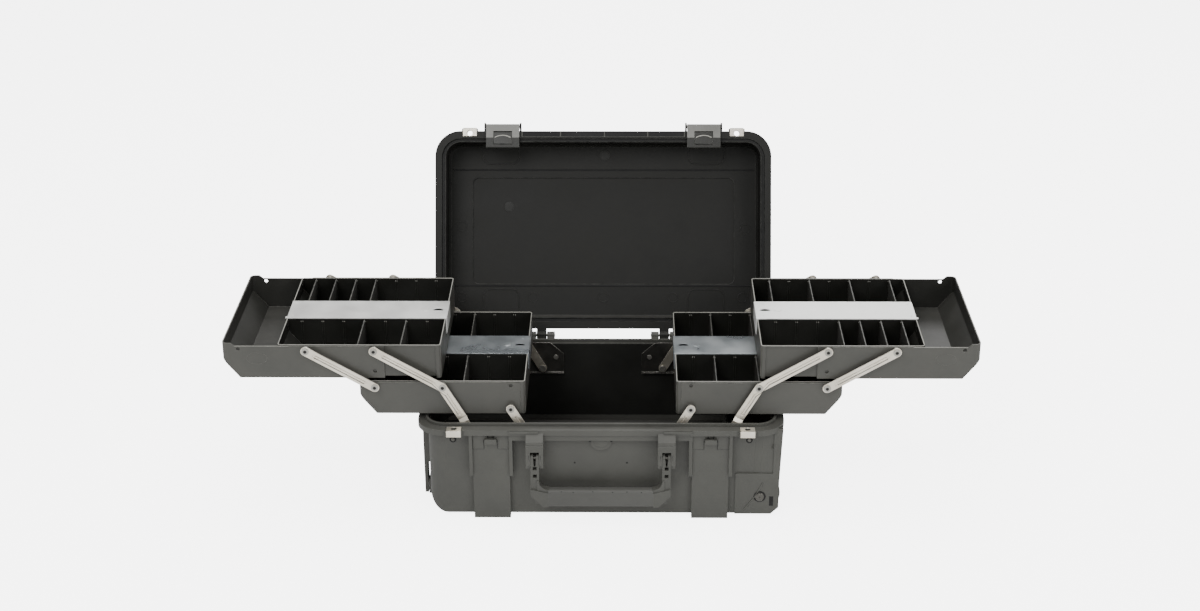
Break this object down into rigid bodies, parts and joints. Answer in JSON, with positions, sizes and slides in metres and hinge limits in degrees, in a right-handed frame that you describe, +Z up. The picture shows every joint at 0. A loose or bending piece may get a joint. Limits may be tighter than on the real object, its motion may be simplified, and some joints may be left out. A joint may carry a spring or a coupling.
{
  "type": "toolbox with tray",
  "caption": "Wheeled hard case with a leaning-back lid, latches, carry and pull handles, and cantilever tray stacks that fold out to both sides",
  "frame": {"origin": "on the floor under the centre of the case, between the four feet", "axes": "+X to the right as seen from the carry-handle side, where the wheels are; +Y to the rear, where the lid hinges; +Z up"},
  "size_m": [1.1398, 0.5434, 0.48],
  "materials": {
    "case_plastic": "lightly textured dark grey polypropylene",
    "tray_shell_plastic": "fine matt dark grey",
    "tray_insert_plastic": "near-black, smooth",
    "divider_plastic": "thin grey sheet",
    "upper_bar_aluminium": "light brushed sheet",
    "lower_bar_steel": "brushed grey sheet",
    "plated_steel": "warm zinc plate",
    "fastener_steel": "dull steel",
    "lock_plate_steel": "bright pressed sheet",
    "gasket_rubber": "soft black foam rubber",
    "tyre_rubber": "matt black",
    "wheel_plastic": "dark grey",
    "grip_rubber": "over-moulded soft grip",
    "latch_plastic": "mid grey glass-filled plastic",
    "tube_aluminium": "satin drawn tube"
  },
  "bodies": {
    "case": {"base_shell": "case_plastic", "pressure_valve": "case_plastic", "base_lock_plates": "lock_plate_steel", "base_lock_plate_screws": "fastener_steel", "lid_hinge_pins": "fastener_steel", "front_handle_pins": "fastener_steel", "wheel_axles": "fastener_steel", "pull_handle_sleeves": "tube_aluminium", "pull_handle_collars": "case_plastic", "bracket_screws": "fastener_steel", "left_brackets": "plated_steel", "right_brackets": "plated_steel", "left_bracket_rivets": "fastener_steel", "right_bracket_rivets": "fastener_steel"},
    "lid": {"lid_shell": "case_plastic", "lid_gasket": "gasket_rubber", "lid_lock_plates": "lock_plate_steel", "latch_pins": "fastener_steel"},
    "left_latch": {"left_latch": "latch_plastic"},
    "left_latch_trigger": {"left_latch_trigger": "latch_plastic"},
    "right_latch": {"right_latch": "latch_plastic"},
    "right_latch_trigger": {"right_latch_trigger": "latch_plastic"},
    "front_handle": {"front_handle": "case_plastic", "front_handle_grip": "grip_rubber"},
    "pull_handle": {"pull_handle_tubes": "tube_aluminium", "pull_handle_grip": "case_plastic"},
    "pull_handle_button": {"pull_handle_button": "case_plastic"},
    "front_wheel": {"front_wheel_hub": "wheel_plastic", "front_wheel_tyre": "tyre_rubber"},
    "rear_wheel": {"rear_wheel_hub": "wheel_plastic", "rear_wheel_tyre": "tyre_rubber"},
    "left_long_arms": {"left_long_arms": "plated_steel"},
    "left_lower_tray": {"left_lower_tray_shell": "tray_shell_plastic", "left_lower_tray_insert": "tray_insert_plastic", "left_lower_tray_bar": "lower_bar_steel", "left_lower_tray_dividers": "divider_plastic", "left_lower_tray_rivets": "fastener_steel"},
    "left_lower_short_arms": {"left_lower_short_arms": "plated_steel"},
    "left_upper_short_arms": {"left_upper_short_arms": "plated_steel"},
    "left_upper_tray": {"left_upper_tray_shell": "tray_shell_plastic", "left_upper_tray_rivets": "fastener_steel"},
    "left_upper_insert": {"left_upper_tray_insert": "tray_insert_plastic", "left_upper_tray_bar": "upper_bar_aluminium", "left_upper_tray_dividers": "divider_plastic"},
    "right_long_arms": {"right_long_arms": "plated_steel"},
    "right_lower_tray": {"right_lower_tray_shell": "tray_shell_plastic", "right_lower_tray_insert": "tray_insert_plastic", "right_lower_tray_bar": "lower_bar_steel", "right_lower_tray_dividers": "divider_plastic", "right_lower_tray_rivets": "fastener_steel"},
    "right_lower_short_arms": {"right_lower_short_arms": "plated_steel"},
    "right_upper_short_arms": {"right_upper_short_arms": "plated_steel"},
    "right_upper_tray": {"right_upper_tray_shell": "tray_shell_plastic", "right_upper_tray_rivets": "fastener_steel"},
    "right_upper_insert": {"right_upper_tray_insert": "tray_insert_plastic", "right_upper_tray_bar": "upper_bar_aluminium", "right_upper_tray_dividers": "divider_plastic"}
  },
  "joints": [
    {"name": "lid_hinge", "type": "hinge", "parent": "case", "child": "lid", "pos_m": [0, 0.175, 0.1568], "axis": [1, 0, 0], "range_deg": [0, 35]},
    {"name": "left_latch_swing", "type": "hinge", "parent": "lid", "child": "left_latch", "pos_m": [-0.167, 0.31589, 0.47382], "axis": [-1, 0, 0], "range_deg": [0, 100]},
    {"name": "left_latch_release", "type": "hinge", "parent": "left_latch", "child": "left_latch_trigger", "pos_m": [-0.167, 0.30562, 0.46519], "axis": [-1, 0, 0], "range_deg": [0, 15], "stiffness_Nm_per_rad": 0.05, "springref_deg": -5.73},
    {"name": "right_latch_swing", "type": "hinge", "parent": "lid", "child": "right_latch", "pos_m": [0.167, 0.31589, 0.47382], "axis": [-1, 0, 0], "range_deg": [0, 100]},
    {"name": "right_latch_release", "type": "hinge", "parent": "right_latch", "child": "right_latch_trigger", "pos_m": [0.167, 0.30562, 0.46519], "axis": [-1, 0, 0], "range_deg": [0, 15], "stiffness_Nm_per_rad": 0.05, "springref_deg": -5.73},
    {"name": "front_handle_lift", "type": "hinge", "parent": "case", "child": "front_handle", "pos_m": [0, -0.169, 0.112], "axis": [-1, 0, 0], "range_deg": [0, 95]},
    {"name": "pull_handle_slide", "type": "slide", "parent": "case", "child": "pull_handle", "axis": [-1, 0, 0], "range_m": [0, 0.38]},
    {"name": "pull_handle_button_press", "type": "slide", "parent": "pull_handle", "child": "pull_handle_button", "axis": [1, 0, 0], "range_m": [0, 0.0015], "stiffness_N_per_m": 400, "springref_m": -0.002},
    {"name": "front_wheel_spin", "type": "hinge", "parent": "case", "child": "front_wheel", "pos_m": [0.244, -0.1305, 0.035], "axis": [0, 1, 0], "continuous": true},
    {"name": "rear_wheel_spin", "type": "hinge", "parent": "case", "child": "rear_wheel", "pos_m": [0.244, 0.1305, 0.035], "axis": [0, 1, 0], "continuous": true},
    {"name": "left_trays_fold", "type": "hinge", "parent": "case", "child": "left_long_arms", "pos_m": [-0.20195, 0, 0.14998], "axis": [0, 1, 0], "range_deg": [0, 118.82]},
    {"name": "left_lower_tray_level", "type": "hinge", "parent": "left_long_arms", "child": "left_lower_tray", "pos_m": [-0.23895, 0, 0.21448], "axis": [0, 1, 0], "range_deg": [-119.82, 1]},
    {"name": "left_lower_short_arms_swing", "type": "hinge", "parent": "case", "child": "left_lower_short_arms", "pos_m": [-0.09945, 0, 0.11398], "axis": [0, 1, 0], "range_deg": [-1, 119.82]},
    {"name": "left_upper_short_arms_swing", "type": "hinge", "parent": "left_lower_tray", "child": "left_upper_short_arms", "pos_m": [-0.34145, 0, 0.21448], "axis": [0, 1, 0], "range_deg": [-1, 119.82]},
    {"name": "left_upper_tray_level", "type": "hinge", "parent": "left_long_arms", "child": "left_upper_tray", "pos_m": [-0.34045, 0, 0.27448], "axis": [0, 1, 0], "range_deg": [-119.82, 1]},
    {"name": "left_upper_insert_slide", "type": "slide", "parent": "left_upper_tray", "child": "left_upper_insert", "axis": [-1, 0, 0], "range_m": [-0.001, 0.079]},
    {"name": "right_trays_fold", "type": "hinge", "parent": "case", "child": "right_long_arms", "pos_m": [0.20195, 0, 0.14998], "axis": [0, -1, 0], "range_deg": [0, 118.82]},
    {"name": "right_lower_tray_level", "type": "hinge", "parent": "right_long_arms", "child": "right_lower_tray", "pos_m": [0.23895, 0, 0.21448], "axis": [0, -1, 0], "range_deg": [-119.82, 1]},
    {"name": "right_lower_short_arms_swing", "type": "hinge", "parent": "case", "child": "right_lower_short_arms", "pos_m": [0.09945, 0, 0.11398], "axis": [0, -1, 0], "range_deg": [-1, 119.82]},
    {"name": "right_upper_short_arms_swing", "type": "hinge", "parent": "right_lower_tray", "child": "right_upper_short_arms", "pos_m": [0.34145, 0, 0.21448], "axis": [0, -1, 0], "range_deg": [-1, 119.82]},
    {"name": "right_upper_tray_level", "type": "hinge", "parent": "right_long_arms", "child": "right_upper_tray", "pos_m": [0.34045, 0, 0.27448], "axis": [0, -1, 0], "range_deg": [-119.82, 1]},
    {"name": "right_upper_insert_slide", "type": "slide", "parent": "right_upper_tray", "child": "right_upper_insert", "axis": [1, 0, 0], "range_m": [-0.001, 0.079]}
  ],
  "couplings": [
    {"joint": "left_lower_tray_level", "follows": "left_trays_fold", "ratio": -1},
    {"joint": "left_lower_short_arms_swing", "follows": "left_trays_fold", "ratio": 1},
    {"joint": "left_upper_short_arms_swing", "follows": "left_trays_fold", "ratio": 1},
    {"joint": "left_upper_tray_level", "follows": "left_trays_fold", "ratio": -1},
    {"joint": "left_upper_insert_slide", "follows": "left_trays_fold", "m_per_rad": 0.037611},
    {"joint": "right_lower_tray_level", "follows": "right_trays_fold", "ratio": -1},
    {"joint": "right_lower_short_arms_swing", "follows": "right_trays_fold", "ratio": 1},
    {"joint": "right_upper_short_arms_swing", "follows": "right_trays_fold", "ratio": 1},
    {"joint": "right_upper_tray_level", "follows": "right_trays_fold", "ratio": -1},
    {"joint": "right_upper_insert_slide", "follows": "right_trays_fold", "m_per_rad": 0.037611}
  ]
}
